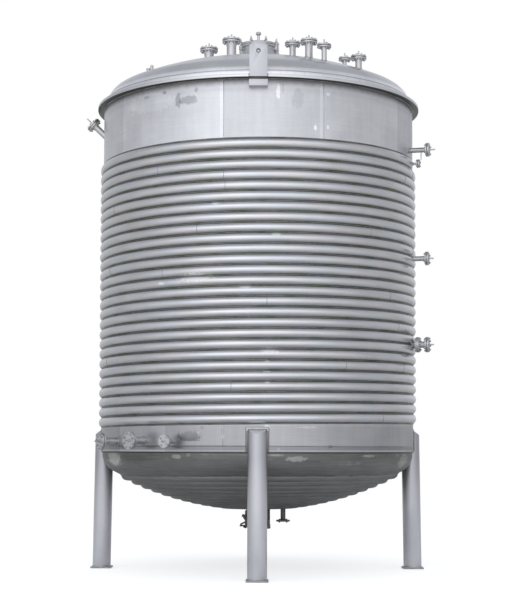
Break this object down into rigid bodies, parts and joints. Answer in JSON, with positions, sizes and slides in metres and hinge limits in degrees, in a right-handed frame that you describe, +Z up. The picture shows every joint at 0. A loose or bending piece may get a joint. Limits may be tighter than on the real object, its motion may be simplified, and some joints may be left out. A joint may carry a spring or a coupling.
{
  "type": "jacketed process tank",
  "caption": "Upright stainless process tank with dished ends, a half-pipe coil jacket, flanged nozzles, a manhole, lifting lugs and pipe legs.",
  "frame": {"origin": "on the ground, on the vessel's axis, midway between the four feet", "axes": "+Z up along the vessel's axis, -Y towards the front that the picture shows, +X towards the three side nozzles"},
  "size_m": [4.254, 4.044, 6.573],
  "materials": {
    "shell_plate": "mill-finished stainless plate, dull, with brushed weld seams and faint stains",
    "top_head": "brushed stainless dished end, soft bright bands",
    "half_pipe": "formed stainless half-pipe, satin, with darker weld grooves and small scuffs",
    "underside": "dull stainless darkened by welding, brownish grey, lightly scraped",
    "leg_steel": "smooth pickled stainless pipe",
    "lug_plate": "pickled stainless plate, light grey",
    "fittings": "machined and forged stainless flanges and necks",
    "outlet_steel": "dark dull metal under the tank"
  },
  "bodies": {
    "root": {"shell_plate_1": "shell_plate", "shell_plate_2": "shell_plate", "shell_plate_3": "shell_plate", "shell_plate_4": "shell_plate", "shell_plate_5": "shell_plate", "shell_plate_6": "shell_plate", "shell_plate_7": "shell_plate", "shell_plate_8": "shell_plate", "rim_ring": "shell_plate", "top_head": "top_head", "bottom_head": "underside", "coil_lower": "half_pipe", "coil_middle": "half_pipe", "coil_upper": "half_pipe", "bottom_coil": "underside", "leg_front": "leg_steel", "leg_right": "leg_steel", "leg_back": "leg_steel", "leg_left": "leg_steel", "leg_pad_front": "leg_steel", "leg_pad_right": "leg_steel", "leg_pad_back": "leg_steel", "leg_pad_left": "leg_steel", "lifting_lug_front": "lug_plate", "lifting_lug_back": "lug_plate", "manhole_neck": "fittings", "manhole_lid": "fittings", "top_nozzle_1": "fittings", "top_nozzle_2": "fittings", "top_nozzle_3": "fittings", "top_nozzle_4": "fittings", "top_nozzle_5": "fittings", "top_nozzle_6": "fittings", "top_nozzle_7": "fittings", "side_nozzle_upper": "fittings", "side_nozzle_middle": "fittings", "side_nozzle_lower": "fittings", "coil_vent_nozzle": "fittings", "low_nozzle_1": "fittings", "low_nozzle_2": "fittings", "low_nozzle_3": "fittings", "slanted_nozzle": "fittings", "outlet_neck": "outlet_steel", "outlet_valve": "outlet_steel", "drain_nozzle": "outlet_steel"}
  },
  "joints": []
}
